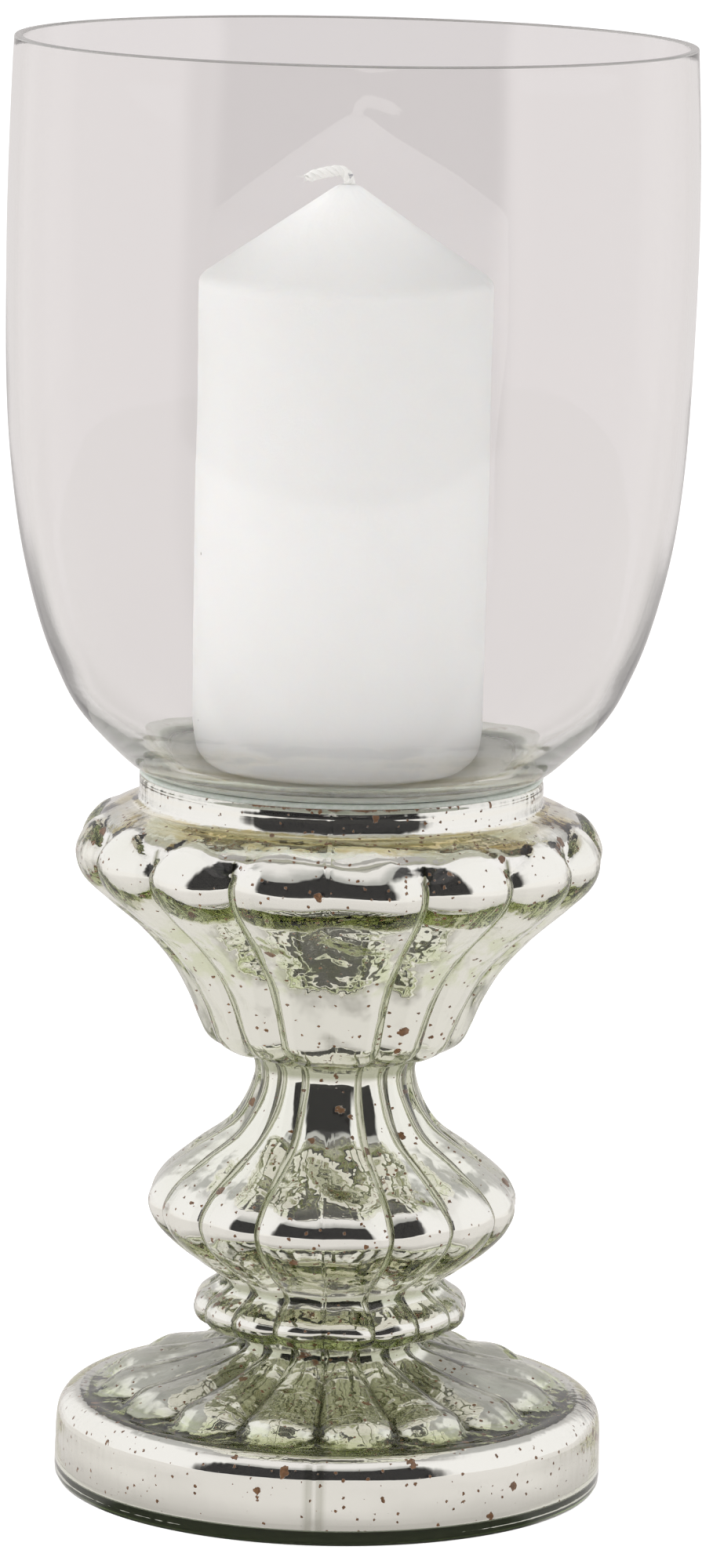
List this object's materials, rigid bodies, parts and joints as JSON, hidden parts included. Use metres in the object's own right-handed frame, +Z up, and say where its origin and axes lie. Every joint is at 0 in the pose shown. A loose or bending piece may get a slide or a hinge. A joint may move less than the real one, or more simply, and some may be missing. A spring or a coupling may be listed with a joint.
{
  "type": "hurricane candle lantern",
  "caption": "Free-standing hurricane lantern: an open clear glass shade bonded on a fluted, silvered glass pedestal, with a loose pillar candle inside.",
  "frame": {"origin": "centre of the circle that the foot rests on", "axes": "+Z up along the lantern's axis; the front, with a mould seam, faces -Y; +X to the right seen from the front"},
  "size_m": [0.1786, 0.1786, 0.38],
  "materials": {
    "pressed_glass": "fire-polished, faintly green",
    "silver_film": "silvered, with brown antique flecks",
    "adhesive": "cured clear adhesive, milky at its edge",
    "clear_glass": "clear, fire-polished",
    "wax": "smooth satin wax",
    "cotton": "unburnt waxed cotton"
  },
  "bodies": {
    "lantern": {"pedestal": "pressed_glass", "silvering": "silver_film", "bond_ring": "adhesive", "shade": "clear_glass"},
    "candle": {"candle_wax": "wax", "wick": "cotton"}
  },
  "joints": [
    {"name": "candle_lift", "type": "slide", "parent": "lantern", "child": "candle", "axis": [0, 0, 1], "range_m": [0, 0.195]}
  ]
}
